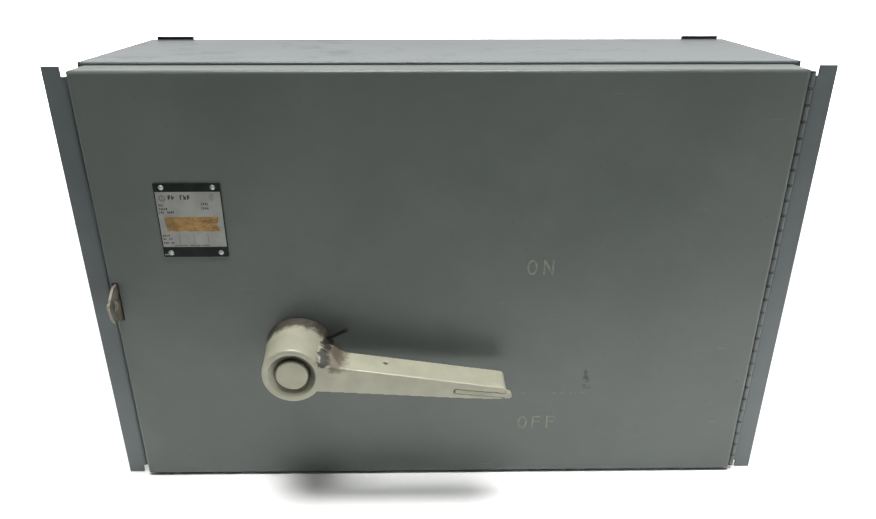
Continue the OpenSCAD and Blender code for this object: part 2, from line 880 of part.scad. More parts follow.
// A lug block with a cable bore along X
module lug(x0) {
  difference() {
    block([x0, strap_y - 34, -17], [x0 + lug_length, strap_y, 17]);
    rod_x(strap_y - 16, 0, x0 - cut, x0 + lug_length + cut, lug_bore);
    rod_y(x0 + lug_length / 2, 0, strap_y - 35, strap_y - 16, 6);
  }
}

// The hex-socket screw that clamps a cable in a lug
module lug_screw(x0) {
  x = x0 + lug_length / 2;
  difference() {
    rod_y(x, 0, strap_y - 38, strap_y - 27.2, 6);
    hex_y(x, 0, strap_y - 39, strap_y - 33, 5.5);
  }
}

module line_lugs() {
  color(steel) at_poles() lug(line_lug_x);
}

module load_lugs() {
  color(steel) at_poles() lug(load_lug_x - lug_length);
}

module line_lug_screws() {
  color(dark) at_poles() lug_screw(line_lug_x);
}

module load_lug_screws() {
  color(dark) at_poles() lug_screw(load_lug_x - lug_length);
}

module line_jaws() {
  color(copper) at_poles()
    jaw_pair(jaw_x - 10, jaw_x + 8, blade_y - 16, blade_thickness + 2 * gap);
}

module hinge_jaws() {
  inner = blade_thickness / 2 + gap;
  color(copper) at_poles() difference() {
    union() {
      block([handle_x - 16, strap_y - 3, -14], [handle_x + 16, strap_y, 14]);
      for (s = [0, 1]) mirror([0, 0, s])
        translate([0, 0, inner]) linear_extrude(leaf_thickness) {
          translate([handle_x, blade_y]) circle(16);
          translate([handle_x - 16, blade_y]) square([32, strap_y - 3 - blade_y]);
        }
    }
    rod_z(handle_x, blade_y, -20, 20, crossbar_radius + gap);
  }
}

// Insulating walls round the line jaws, standing on the base
module arc_chutes() {
  color(insulator) at_poles() {
    for (s = [0, 1]) mirror([0, 0, s])
      block([chute_x, blade_y - 58, 21], [jaw_x + 18, base_y, 24]);
    block([chute_x, blade_y - 58, -24], [chute_x + 3, strap_y - 6, 24]);
  }
}

module arc_plates() {
  color(steel) at_poles() for (i = [0 : 4]) {
    y = blade_y - 54 + 8 * i;
    difference() {
      block([chute_x + 3, y, -21], [jaw_x + 18, y + 1.6, 21]);
      block([jaw_x - 13, y - cut, -6], [jaw_x + 19, y + 3, 6]);
    }
  }
}

module fuse_clips() {
  color(copper) at_poles() for (x = [line_clip_x, load_clip_x])
    jaw_pair(x - 10, x + 10, blade_y - fuse_blade_reach - 1.4, clip_opening);
}

module fuse_tubes() {
  tube = fuse_length - 2 * fuse_blade - 24;
  color([0.8, 0.78, 0.7]) at_poles()
    rod_x(blade_y, 0, fuse_x - tube / 2, fuse_x + tube / 2, fuse_radius - 0.8);
}

module fuse_caps() {
  tube = fuse_length - 2 * fuse_blade - 24;
  color(copper) at_poles() for (s = [0, 1])
    translate([fuse_x, 0, 0]) mirror([s, 0, 0]) {
      rod_x(blade_y, 0, tube / 2, tube / 2 + 12, fuse_radius);
      block([tube / 2 + 12, blade_y - fuse_blade_reach, -clip_opening / 2],
            [fuse_length / 2, blade_y + fuse_blade_reach, clip_opening / 2]);
    }
}

// Hexagon bolts that hold each bar to the base
module strap_bolts() {
  x_list = [line_lug_x + lug_length + 8, handle_x + 26, line_clip_x - 20,
            load_lug_x - lug_length - 8];
  color(steel) at_poles() for (x = x_list) hex_y(x, 0, strap_y - 5, strap_y, 11);
}

module phase_barriers() {
  color(insulator) for (i = [0, 1]) {
    z = (poles[i] + poles[i + 1]) / 2;
    block([handle_x + 52, blade_y - 70, z - 1.5], [load_lug_x, base_y, z + 1.5]);
  }
}

// Steel post that carries the ground lug, welded to the bottom sheet
module ground_post() {
  color(steel) block([ground_x - 4, ground_y - 6, sheet],
                     [ground_x + 4, ground_y + 6, ground_z - 9]);
}

module ground_lug() {
  color(copper) difference() {
    block([ground_x - 12, ground_y - 8, ground_z - 9],
          [ground_x + 12, ground_y + 8, ground_z + 9]);
    rod_x(ground_y, ground_z, ground_x - 13, ground_x + 13, ground_bore);
    rod_z(ground_x, ground_y, ground_z, ground_z + 10, 3.5);
  }
}

module ground_lug_screw() {
  top = ground_z + 11;
  color(steel) difference() {
    rod_z(ground_x, ground_y, ground_z + ground_bore + 0.1, top, 3.5);
    block([ground_x - 4, ground_y - 0.6, top - 1.6], [ground_x + 4, ground_y + 0.6, top + 1]);
  }
}

back_panel();
left_side_panel();
right_side_panel();
top_panel();
bottom_panel();
mounting_rails();
box_hinge_leaf();
hasp_staple();
door_panel();
door_hinge_leaf();
hinge_pin();
nameplate();
rating_sticker();
nameplate_rivets();
handle_bearing();
bearing_nut();
door_catch();
handle_casting();
handle_cap();
handle_screw();
operating_shaft();
drive_tongue();
slide_pin();
lock_slide();
interlock_pin();
drive_receiver();
receiver_crank();
crank_ring();
torsion_spring();
mechanism_plate();
mechanism_posts();
post_screws();
crossbar();
crossbar_fork();
switch_blades();
crossbar_bearings();
mounting_base();
base_standoffs();
base_screws();
line_straps();
line_lugs();
line_lug_screws();
line_jaws();
arc_chutes();
arc_plates();
hinge_straps();
hinge_jaws();
fuse_clips();
fuse_tubes();
fuse_caps();
load_straps();
load_lugs();
load_lug_screws();
strap_bolts();
phase_barriers();
ground_post();
ground_lug();
ground_lug_screw();
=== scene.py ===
# %% [markdown]
# # A fused disconnect switch
# The model's solids come in as a fixed frame, in metres: X to the right, Y to
# the back, Z up. This lesson adds what solids can't hold: the cast handle's
# soft edges, the printing on the nameplate, worn paint marks, a wound spring,
# and a finish for every piece.

# %% Load the fixed frame
import json
import math

import bpy
import numpy as np
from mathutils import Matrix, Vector


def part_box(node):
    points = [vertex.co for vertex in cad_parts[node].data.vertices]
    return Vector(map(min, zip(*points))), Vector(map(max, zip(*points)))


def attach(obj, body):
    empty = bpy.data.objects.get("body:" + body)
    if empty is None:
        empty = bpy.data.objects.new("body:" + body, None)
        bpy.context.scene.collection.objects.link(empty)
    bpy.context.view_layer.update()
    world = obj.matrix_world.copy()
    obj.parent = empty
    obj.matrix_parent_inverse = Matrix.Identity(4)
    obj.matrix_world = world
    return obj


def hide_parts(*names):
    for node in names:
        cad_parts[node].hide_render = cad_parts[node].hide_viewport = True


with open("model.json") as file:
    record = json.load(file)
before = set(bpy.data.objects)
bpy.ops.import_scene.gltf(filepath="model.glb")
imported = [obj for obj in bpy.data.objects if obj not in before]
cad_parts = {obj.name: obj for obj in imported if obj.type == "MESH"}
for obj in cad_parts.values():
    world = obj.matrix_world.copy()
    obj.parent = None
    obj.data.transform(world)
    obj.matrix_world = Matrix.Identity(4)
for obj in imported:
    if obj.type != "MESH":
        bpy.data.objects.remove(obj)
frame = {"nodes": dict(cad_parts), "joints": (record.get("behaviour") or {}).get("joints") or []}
NODES = frame["nodes"]
JOINTS = {joint["name"]: joint for joint in frame["joints"]}
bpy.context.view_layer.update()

# %% [markdown]
# ## Where things are
# Positions come from the solids, so a change of size carries through. The
# handle turns about an axis through its hub, and its arm points along the
# direction in which the lock slide is pulled. The hinge's knuckles are half an
# inch high, counted from the leaf's foot. Sizes below are in millimetres and
# `MM` turns them into metres.

# %% Driving positions
MM = 0.001
DOOR_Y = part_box("door_panel")[0].y
PLATE_LOW, PLATE_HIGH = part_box("nameplate")
HUB = Vector(JOINTS["handle_turn"]["pos_m"])
ARM = Vector(JOINTS["lock_slide_pull"]["axis"])
ARM_ANGLE = math.atan2(ARM.z, ARM.x)
KNUCKLE = 12.7 * MM
HINGE_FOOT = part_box("door_hinge_leaf")[0].z
print("hub axis", HUB, "arm angle", math.degrees(ARM_ANGLE))

# %% [markdown]
# ## Small tools
# Colours are written as the sRGB hex codes that a paint chart gives, and one
# function turns them into the linear values that light sums need. Another adds
# a shader node with its settings and links. A pattern's scale is the number of
# repeats per metre, so `per_mm` turns a real size into that number.

# %% Colour, scale and node helpers
def srgb(code):
    """Each channel c of a hex colour becomes ((c + 0.055) / 1.055) ** 2.4."""
    channels = [int(code[i:i + 2], 16) / 255 for i in (0, 2, 4)]
    return [((c + 0.055) / 1.055) ** 2.4 if c > 0.04 else c / 12.92 for c in channels] + [1]


def per_mm(size):
    """Pattern scale at which one feature measures `size` millimetres."""
    return 1000 / size


# For each kind: Blender's name, its settings, the inputs that take values in
# turn, and the output that is used
NODE_KINDS = {
    "blend": ("ShaderNodeMix", {"data_type": "RGBA"}, (0, 6, 7), 2),
    "step": ("ShaderNodeMapRange", {"interpolation_type": "SMOOTHSTEP"}, (0, 1, 2, 3, 4), 0),
    "noise": ("ShaderNodeTexNoise", {}, ("Vector", "Scale", "Detail", "Roughness"), 0),
    "cells": ("ShaderNodeTexVoronoi", {"feature": "F1"}, ("Vector", "Scale"), 0),
    "multiply": ("ShaderNodeMath", {"operation": "MULTIPLY"}, (0, 1), 0),
    "sum": ("ShaderNodeMath", {"operation": "ADD"}, (0, 1), 0),
    "less": ("ShaderNodeMath", {"operation": "SUBTRACT"}, (0, 1), 0),
    "larger": ("ShaderNodeMath", {"operation": "MAXIMUM"}, (0, 1), 0),
    "size": ("ShaderNodeMath", {"operation": "ABSOLUTE"}, (0,), 0),
    "to and fro": ("ShaderNodeMath", {"operation": "PINGPONG"}, (0, 1), 0),
    "dot": ("ShaderNodeVectorMath", {"operation": "DOT_PRODUCT"}, (0, 1), 1),
    "length": ("ShaderNodeVectorMath", {"operation": "LENGTH"}, (0,), 1),
    "from": ("ShaderNodeVectorMath", {"operation": "DISTANCE"}, (0, 1), 1),
    "place": ("ShaderNodeTexCoord", {}, (), "Object"),
    "way": ("ShaderNodeTexCoord", {}, (), "Generated"),
    "facing": ("ShaderNodeNewGeometry", {}, (), "True Normal"),
    "stretch": ("ShaderNodeMapping", {}, ("Vector", "Rotation", "Scale"), 0),
    "frame": ("ShaderNodeMapping", {"vector_type": "TEXTURE"},
              ("Vector", "Location", "Rotation", "Scale"), 0),
    "axes": ("ShaderNodeSeparateXYZ", {}, (0,), None),
    "point": ("ShaderNodeCombineXYZ", {}, (0, 1, 2), 0),
    "rounding": ("ShaderNodeBevel", {"samples": 6}, ("Radius",), 0),
    "relief": ("ShaderNodeBump", {}, ("Distance", "Height", "Normal"), 0),
}


def add(tree, kind, *values):
    """Adds a node with its settings. Each value is a number, a colour or the output
    that feeds that input. Gives the node's output, or all of them for "axes"."""
    idname, settings, inputs, output = NODE_KINDS[kind]
    made = tree.nodes.new(idname)
    for name, setting in settings.items():
        setattr(made, name, setting)
    for key, value in zip(inputs, values):
        if isinstance(value, bpy.types.NodeSocket):
            tree.links.new(value, made.inputs[key])
        else:
            made.inputs[key].default_value = value
    return made.outputs if output is None else made.outputs[output]


def finish_with(tree, shader, **inputs):
    """Feeds the shader: each input is a value or an output, named with _ for a space."""
    for name, value in inputs.items():
        socket = shader.inputs[name.replace("_", " ")]
        if isinstance(value, bpy.types.NodeSocket):
            tree.links.new(value, socket)
        else:
            socket.default_value = value


# %% [markdown]
# ## A finish in layers
# Real paint and metal are never one flat colour. Every finish here starts from
# the same stack: two close tones in soft patches, a fine grain in the gloss, a
# shallow relief, and edges that are rounded over a fraction of a millimetre
# and rubbed to another tone. Each finish then gets the layers that only it has.

# %% The shared stack
def start_finish(name):
    """A new material: its tree, its shader and the place of each point on the object."""
    material = bpy.data.materials.new(name)
    material.use_nodes = True
    tree = material.node_tree
    shader = tree.nodes["Principled BSDF"]
    return material, tree, shader, add(tree, "place")


def edge_mask(tree, radius):
    """1 on an edge, 0 on a flat face: how far rounding turns the face's direction."""
    soft = add(tree, "rounding", radius * MM)
    turn = add(tree, "dot", soft, add(tree, "facing"))
    return add(tree, "step", turn, 0.80, 0.985, 1.0, 0.0), soft


def surface(name, tones, patch, grain, relief, gloss, metal=0.0, edge=None, radius=0.4,
            shine=0.5):
    """The whole stack. tones: two hex colours; patch: their size; grain: the fine
    pattern's size; relief: its depth; gloss: lowest and highest roughness; edge:
    hex colour of rubbed edges; sizes in millimetres."""
    material, tree, shader, place = start_finish(name)
    cloud = add(tree, "noise", place, per_mm(patch), 4.0, 0.6)
    fine = add(tree, "noise", place, per_mm(grain), 3.0, 0.6)
    colour = add(tree, "blend", add(tree, "step", cloud, 0.35, 0.65), srgb(tones[0]), srgb(tones[1]))
    worn, soft = edge_mask(tree, radius)
    if edge:
        chipped = add(tree, "multiply", worn, add(tree, "step", fine, 0.35, 0.6, 0.25, 1.0))
        colour = add(tree, "blend", chipped, colour, srgb(edge))
    finish_with(tree, shader, Base_Color=colour, Metallic=metal, Specular_IOR_Level=shine,
                Roughness=add(tree, "step", fine, 0.3, 0.7, gloss[0], gloss[1]),
                Normal=add(tree, "relief", relief * MM, fine, soft))
    return material


def paint_nodes(material, *names):
    """Puts one finish on every slot of these solids."""
    for name in names:
        mesh = NODES[name].data
        mesh.materials.clear()
        mesh.materials.append(material)
        print(f"{name}: {material.name}")


# %% [markdown]
# ## Sheet steel under baked enamel
# The box and door are 2 mm steel in a dark grey-green enamel, sprayed and baked.
# Sprayed enamel shows a faint orange peel, about 2 mm from crest to crest, and a
# semi-gloss that mirrors a bright floor as a soft sheen. Years of use leave dull
# hand smears, dust specks and fine scratches. A full layer of each is worked out
# from the point's place on the sheet.

# %% Baked enamel
def enamel(name, tones, smears=(), edge="8b928f", rubbed=0.16, joint_shade=False):
    """Dark enamel: soft patches, specks, fine scratches, and dull smears given as
    centre x, centre z, width and height in millimetres and how strong they are.
    Edges take the colour `edge` as far as `rubbed` says. With joint_shade, painted shade for the gaps lies
    within 1.4 mm of each joint between two hinge knuckles."""
    material, tree, shader, place = start_finish(name)
    cloud = add(tree, "noise", place, per_mm(150), 5.0, 0.62)
    colour = add(tree, "blend", add(tree, "step", cloud, 0.3, 0.7), srgb(tones[0]), srgb(tones[1]))
    dull = add(tree, "step", add(tree, "noise", place, per_mm(60), 6.0, 0.7), 0.45, 0.75)
    for x, z, width, height, strength in smears:
        spot = add(tree, "frame", place, (x * MM, DOOR_Y, z * MM), (0, 0, 0),
                   (width * MM, 1.0, height * MM))
        patch = add(tree, "step", add(tree, "length", spot), 0.15, 1.0, strength, 0.0)
        mottle = add(tree, "noise", place, per_mm(9), 4.0)
        dull = add(tree, "sum", dull, add(tree, "multiply", patch, mottle))
    # Specks of dust: cells 14 mm apart, of which the small cores show
    speck = add(tree, "step", add(tree, "cells", place, per_mm(14)), 0.035, 0.055, 0.5, 0.0)
    # Scratches: noise drawn out along one direction, cut to its crests
    streak = add(tree, "stretch", place, (0, 0.7, 0), (1, 1, 16))
    scratch = add(tree, "noise", streak, per_mm(40), 3.0, 0.7)
    scratch = add(tree, "step", scratch, 0.715, 0.735, 0.0, 0.22)
    colour = add(tree, "blend", add(tree, "multiply", dull, 0.10), colour, srgb("7a7d74"))
    colour = add(tree, "blend", speck, colour, srgb("3d413d"))
    colour = add(tree, "blend", scratch, colour, srgb("8d918b"))
    worn, soft = edge_mask(tree, 0.7)
    colour = add(tree, "blend", add(tree, "multiply", worn, rubbed), colour, srgb(edge))
    # Painted shade in the joints: a dark band within 1.4 mm of each joint between knuckles stands in for the
    # shadow in the gap
    if joint_shade:
        height = add(tree, "less", add(tree, "axes", place)["Z"], HINGE_FOOT)
        away = add(tree, "to and fro", height, KNUCKLE / 2)
        uneven = add(tree, "noise", place, per_mm(11), 3.0)
        uneven = add(tree, "step", uneven, 0.4, 0.6, 0.55, 0.95)
        darkening = add(tree, "multiply", add(tree, "step", away, 0.0008, 0.0014, 1.0, 0.0), uneven)
        colour = add(tree, "blend", darkening, colour, srgb("161a18"))
    peel = add(tree, "noise", place, per_mm(2.2), 1.0)
    finish_with(tree, shader, Base_Color=colour, Roughness=add(tree, "step", dull, 0.0, 1.2, 0.30, 0.46),
                Normal=add(tree, "relief", 0.012 * MM, peel, soft), Specular_IOR_Level=0.32)
    return material


DOOR_SMEARS = ((-150, 235, 60, 70, 0.9), (-175, 110, 60, 50, 0.8), (-45, 215, 50, 22, 0.5),
               (205, 255, 60, 40, 0.4), (-190, 60, 90, 45, 0.5))
DOOR_TONES = ("575d5a", "5f6561")
DOOR_ENAMEL = enamel("door_enamel", DOOR_TONES, DOOR_SMEARS)
BOX_ENAMEL = enamel("box_enamel", ("585e60", "616869"))
# Painted shade: the hinge's edges are darkened almost to black, and the joints between its knuckles are
# darkened where the gaps' shadows fall
HINGE_ENAMEL = enamel("hinge_enamel", ("575d5c", "5f6564"), edge="161a18", rubbed=0.92, joint_shade=True)
paint_nodes(DOOR_ENAMEL, "door_panel")
paint_nodes(HINGE_ENAMEL, "door_hinge_leaf", "box_hinge_leaf")
paint_nodes(BOX_ENAMEL, "back_panel", "left_side_panel", "right_side_panel", "top_panel",
            "bottom_panel")

# %% [markdown]
# ## Steel, copper and moulded parts
# Zinc-plated steel is bright but cloudy, because the plating's crystals scatter
# light. Tin-flashed copper is duller and warmer. Both start from the shared
# stack as metals. Glass-polyester mouldings, the board and the fuse tubes are
# not metals: they have fibre flecks and a satin face.

# %% Finishes from the shared stack
ZINC = surface("zinc_plated_steel", ("9b9c98", "b4b3aa"), 9, 0.8, 0.02, (0.32, 0.5), 1.0, "cfcec8")
WORN_STEEL = surface("worn_painted_steel", ("6c6a60", "8f8877"), 7, 0.7, 0.06, (0.42, 0.62), 0.35,
                     "d4d0c2", 0.8)
BLACK_OXIDE = surface("black_oxide_steel", ("141414", "1f1e1d"), 5, 0.6, 0.03, (0.38, 0.6), 0.5, "3c3a37")
STRIP_STEEL = surface("dark_grey_strip", ("2a2c2d", "343637"), 22, 1.5, 0.05, (0.4, 0.55), 0.0, "55585a")
COPPER = surface("tin_flashed_copper", ("b08d78", "c9a993"), 11, 0.6, 0.02, (0.3, 0.46), 1.0, "d9a98c")
ALUMINIUM = surface("tinned_aluminium_lug", ("b0b1ae", "c2c3c0"), 8, 0.5, 0.03, (0.34, 0.5), 1.0, "dcdcda")
RIVET = surface("plain_aluminium_rivet", ("a2a6a3", "c0c3c0"), 1.5, 0.4, 0.03, (0.35, 0.55), 1.0, "e2e4e2")
POLYESTER = surface("red_glass_polyester", ("5e251d", "713228"), 16, 0.7, 0.05, (0.42, 0.6), 0.0, "8a4a3d")
BOARD = surface("glass_polyester_sheet", ("a3937a", "b9aa90"), 7, 0.5, 0.04, (0.45, 0.62), 0.0, "c9bda6")
FUSE_TUBE = surface("melamine_glass_tube", ("bfb89f", "cfc9b4"), 20, 0.6, 0.03, (0.34, 0.5), 0.0, "ddd8c6")
PLATE_BLACK = surface("black_anodised_aluminium", ("0d1310", "18211c"), 12, 0.5, 0.01, (0.35, 0.5), 0.0,
                      "8d9491", 0.35, 0.18)

paint_nodes(ZINC, "hinge_pin", "handle_bearing", "bearing_nut", "door_catch", "operating_shaft",
            "drive_tongue", "handle_screw", "slide_pin", "drive_receiver", "receiver_crank",
            "mechanism_plate", "mechanism_posts", "post_screws", "crossbar_fork", "base_standoffs",
            "base_screws", "strap_bolts", "arc_plates", "ground_post", "ground_lug_screw")
paint_nodes(WORN_STEEL, "hasp_staple")
paint_nodes(BLACK_OXIDE, "interlock_pin", "crank_ring", "line_lug_screws", "load_lug_screws")
# The mounting rails are given a near-black grey
paint_nodes(STRIP_STEEL, "mounting_rails")
paint_nodes(COPPER, "line_straps", "hinge_straps", "load_straps", "line_jaws", "hinge_jaws",
            "fuse_clips", "switch_blades", "fuse_caps", "ground_lug")
paint_nodes(ALUMINIUM, "line_lugs", "load_lugs")
paint_nodes(RIVET, "nameplate_rivets")
paint_nodes(POLYESTER, "crossbar", "crossbar_bearings", "arc_chutes", "phase_barriers")
paint_nodes(BOARD, "mounting_base")
paint_nodes(FUSE_TUBE, "fuse_tubes")
paint_nodes(PLATE_BLACK, "nameplate")

# %% [markdown]
# ## The cast handle's enamel
# The hub and arm are one zinc casting in a warm light-grey enamel with a little metal flake. A rusty stain
# sits on the web above the arm. Behind the hub's upper edge by the door, the paint is darkened for grease
# together with painted contact shadow. The corner between hub and arm is darkened too. The recess round the
# cap is darkened with painted shade above and to the right. These places are found from the distance to the
# hub's axis, turned so that X runs along the arm. The arm's front edges carry small dark nicks.

# %% Cast enamel
# Millimetres from the hub's axis, along the arm and up from it, and from the door
CAP_RIM, RECESS_RIM = 13.4, 20.0
RECESS_FLOOR = -38.4
ARM_CORNER = (23.8, 15.0)
WEB_STAIN = (34.0, 19.5)


def cast_enamel(name, grime_and_shade):
    """Light enamel on a casting; grime_and_shade from 0 to 1 scales the dark deposits and the painted shade.
    """
    material, tree, shader, place = start_finish(name)
    turned = add(tree, "frame", place, (HUB.x, DOOR_Y, HUB.z), (0, -ARM_ANGLE, 0))
    along, depth, height = add(tree, "axes", turned)
    cloud = add(tree, "noise", place, per_mm(26), 5.0, 0.6)
    fine = add(tree, "noise", place, per_mm(1.1), 3.0, 0.65)
    flake = add(tree, "cells", place, per_mm(0.9))
    colour = add(tree, "blend", add(tree, "step", cloud, 0.3, 0.7), srgb("949382"), srgb("a1a08d"))
    colour = add(tree, "blend", add(tree, "step", flake, 0.12, 0.3, 0.22, 0.0), colour, srgb("b6b5a2"))
    # Rubbed edges are brighter, and nicks break them where the coarse noise peaks
    worn, soft = edge_mask(tree, 1.0)
    colour = add(tree, "blend", add(tree, "multiply", worn, 0.6), colour, srgb("c6c5b3"))
    nick = add(tree, "step", add(tree, "noise", place, per_mm(5), 4.0, 0.75), 0.60, 0.66)
    nick = add(tree, "multiply", nick, add(tree, "multiply", worn, 0.8))
    colour = add(tree, "blend", nick, colour, srgb("57544a"))
    # Painted shade: the recess between cap and rim is darkened as the rim's shadow, most of it above and to
    # the right
    radius = add(tree, "length", add(tree, "point", along, 0.0, height))
    inside = add(tree, "step", radius, (RECESS_RIM - 1.2) * MM, RECESS_RIM * MM, 1.0, 0.0)
    outside = add(tree, "step", radius, CAP_RIM * MM, (CAP_RIM + 0.4) * MM)
    sunk = add(tree, "step", depth, (RECESS_FLOOR - 0.8) * MM, RECESS_FLOOR * MM, 1.0, 0.0)
    recess_shade = add(tree, "multiply", add(tree, "multiply", outside, inside), sunk)
    upward = add(tree, "dot", turned, (0.55, 0, 0.83))
    recess_shade = add(tree, "multiply", recess_shade, add(tree, "step", upward, -0.016, 0.010, 0.12, 0.9))
    colour = add(tree, "blend", add(tree, "multiply", recess_shade, grime_and_shade), colour, srgb("32332a"))
    # Grease and painted contact shadow in a band near the door on the hub's upper half, a darkened patch
    # where the arm leaves the hub, and a rusty stain on the web above it
    patchy = add(tree, "noise", place, per_mm(7), 5.0, 0.65)
    ragged = add(tree, "multiply", add(tree, "less", patchy, 0.5), 0.018)
    rear_grease_and_shadow = add(tree, "step", add(tree, "sum", depth, ragged), -0.016, -0.007)
    rear_grease_and_shadow = add(tree, "multiply", rear_grease_and_shadow, add(tree, "step", height, -0.006, 0.012))
    level = add(tree, "point", along, 0.0, height)
    corner = (ARM_CORNER[0] * MM, 0, ARM_CORNER[1] * MM)
    corner = add(tree, "sum", add(tree, "from", level, corner), ragged)
    corner = add(tree, "step", corner, 0.0032, 0.0064, 1.0, 0.0)
    stain = (WEB_STAIN[0] * MM, 0, WEB_STAIN[1] * MM)
    stain = add(tree, "sum", add(tree, "from", level, stain), ragged)
    stain = add(tree, "multiply", add(tree, "step", stain, 0.006, 0.016, 0.9, 0.0), grime_and_shade)
    colour = add(tree, "blend", stain, colour, srgb("463b2e"))
    darkening = add(tree, "multiply", add(tree, "larger", rear_grease_and_shadow, corner), grime_and_shade)
    dark_tone = add(tree, "blend", add(tree, "step", patchy, 0.46, 0.64), srgb("17160e"), srgb("362c20"))
    colour = add(tree, "blend", darkening, colour, dark_tone)
    dull = add(tree, "multiply", add(tree, "larger", darkening, stain), 0.3)
    gloss = add(tree, "sum", add(tree, "step", fine, 0.3, 0.7, 0.36, 0.46), dull)
    finish_with(tree, shader, Base_Color=colour, Roughness=gloss, Metallic=0.15,
                Normal=add(tree, "relief", 0.05 * MM, fine, soft))
    return material


HANDLE_ENAMEL = cast_enamel("cast_handle_enamel", 0.95)
SLIDE_ENAMEL = cast_enamel("lock_slide_enamel", 0.0)
paint_nodes(SLIDE_ENAMEL, "lock_slide", "handle_cap")

# %% [markdown]
# ## The handle's soft body
# A sand or die casting has no sharp edge: the arm flows into the hub through a
# fillet and every corner is round. Bevelling loose triangles is unreliable, so
# a merged copy of the solid is rebuilt from even cells 0.7 mm across, which
# rounds every edge by about one cell, and is then relaxed a little.

# %% Rebuild the casting as a smooth skin
def place_object(name, mesh):
    """Links a mesh that already holds its own place."""
    made = bpy.data.objects.new(name, mesh)
    bpy.context.scene.collection.objects.link(made)
    return made


def apply_modifiers(piece):
    """Turns the shape that the modifiers give into the piece's own mesh."""
    graph = bpy.context.evaluated_depsgraph_get()
    shaped = bpy.data.meshes.new_from_object(piece.evaluated_get(graph))
    piece.modifiers.clear()
    piece.data = shaped


def soft_copy(name, node, cell, rounds):
    """A merged copy of a solid, rebuilt in cells of `cell` millimetres and relaxed."""
    piece = place_object(name, NODES[node].data.copy())
    weld = piece.modifiers.new("weld", "WELD")
    weld.merge_threshold = 1e-6
    rebuild = piece.modifiers.new("rebuild", "REMESH")
    rebuild.mode = "VOXEL"
    rebuild.voxel_size = cell * MM
    relax = piece.modifiers.new("relax", "SMOOTH")
    relax.factor = 0.5
    relax.iterations = rounds
    apply_modifiers(piece)
    piece.data.shade_smooth()
    print(f"{name}: {len(piece.data.polygons)} faces")
    return piece


handle_body = soft_copy("handle_body", "handle_casting", 0.7, 5)
handle_body.data.materials.clear()
handle_body.data.materials.append(HANDLE_ENAMEL)
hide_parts("handle_casting")
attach(handle_body, "handle")

# %% [markdown]
# ## Grids and tubes
# Every new surface is a grid of points: two parameters run over it, and a
# formula gives the point for each pair. `grid_mesh` joins neighbours into
# four-sided faces, and can close the grid in either direction.

# %% Grid surfaces
def grid_mesh(name, points, closed_u=False, closed_v=False, capped=False):
    """points[i, j] is the point at parameters i and j. Face (i, j) joins it to the
    next point along each parameter; a closed direction joins the last to the first."""
    rows, columns = points.shape[:2]
    number = np.arange(rows * columns).reshape(rows, columns)
    i = np.arange(rows if closed_u else rows - 1)
    j = np.arange(columns if closed_v else columns - 1)
    ii, jj = np.meshgrid(i, j, indexing="ij")
    next_i = (ii + 1) % rows
    next_j = (jj + 1) % columns
    quads = np.stack([number[ii, jj], number[next_i, jj], number[next_i, next_j], number[ii, next_j]], -1)
    faces = [tuple(face) for face in quads.reshape(-1, 4).tolist()]
    if capped:
        faces.append(tuple(number[0].tolist()))
        faces.append(tuple(number[-1][::-1].tolist()))
    mesh = bpy.data.meshes.new(name)
    mesh.from_pydata(points.reshape(-1, 3).tolist(), [], faces)
    mesh.update()
    return mesh


def tube(path, radius, sides):
    """A circle carried along a path: at each point it stands square to the path's
    direction, on two axes taken from that direction and a fixed one."""
    ahead = np.gradient(path, axis=0)
    ahead /= np.linalg.norm(ahead, axis=1, keepdims=True)
    fixed = np.array([0.0, 1.0, 0.0])
    side = np.cross(ahead, fixed)
    side /= np.linalg.norm(side, axis=1, keepdims=True)
    up = np.cross(side, ahead)
    turn = np.linspace(0, 2 * np.pi, sides, endpoint=False)
    ring = np.cos(turn)[None, :, None] * side[:, None] + np.sin(turn)[None, :, None] * up[:, None]
    return path[:, None] + radius * ring


# %% [markdown]
# ## The return spring
# A torsion spring sits round the receiver's neck, in three turns of 3 mm wire.
# Its middle line is a helix: the angle grows evenly, and the height grows with it.

# %% Wind the spring
SPRING_LOW, SPRING_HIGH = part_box("torsion_spring")
SPRING_TURNS = 2.9
WIRE = 1.5 * MM
SPRING_RADIUS = (SPRING_HIGH.x - SPRING_LOW.x) / 2 - WIRE


def helix(steps):
    """Angle t turns evenly; the point is (R cos t, y from back to front, R sin t)."""
    share = np.linspace(0, 1, steps)
    angle = share * SPRING_TURNS * 2 * np.pi
    y = SPRING_LOW.y + WIRE + share * (SPRING_HIGH.y - SPRING_LOW.y - 2 * WIRE)
    x = HUB.x + SPRING_RADIUS * np.cos(angle)
    z = HUB.z + SPRING_RADIUS * np.sin(angle)
    return np.stack([x, y, z], -1)


spring = place_object("return_spring", grid_mesh("return_spring", tube(helix(220), WIRE, 14),
                                                 closed_v=True, capped=True))
spring.data.shade_smooth()
spring.data.materials.append(ZINC)
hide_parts("torsion_spring")
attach(spring, "receiver")
print("spring wire runs over", round(SPRING_TURNS, 1), "turns")

# %% [markdown]
# ## Printed marks
# Letters and lines on the door and nameplate are thin coats of ink. Each stroke
# is a small four-cornered sheet lying a few hundredths of a millimetre above
# what it is printed on. A sheet is given by its corners in the face's own
# millimetres, and all strokes of a mark are joined in one mesh.

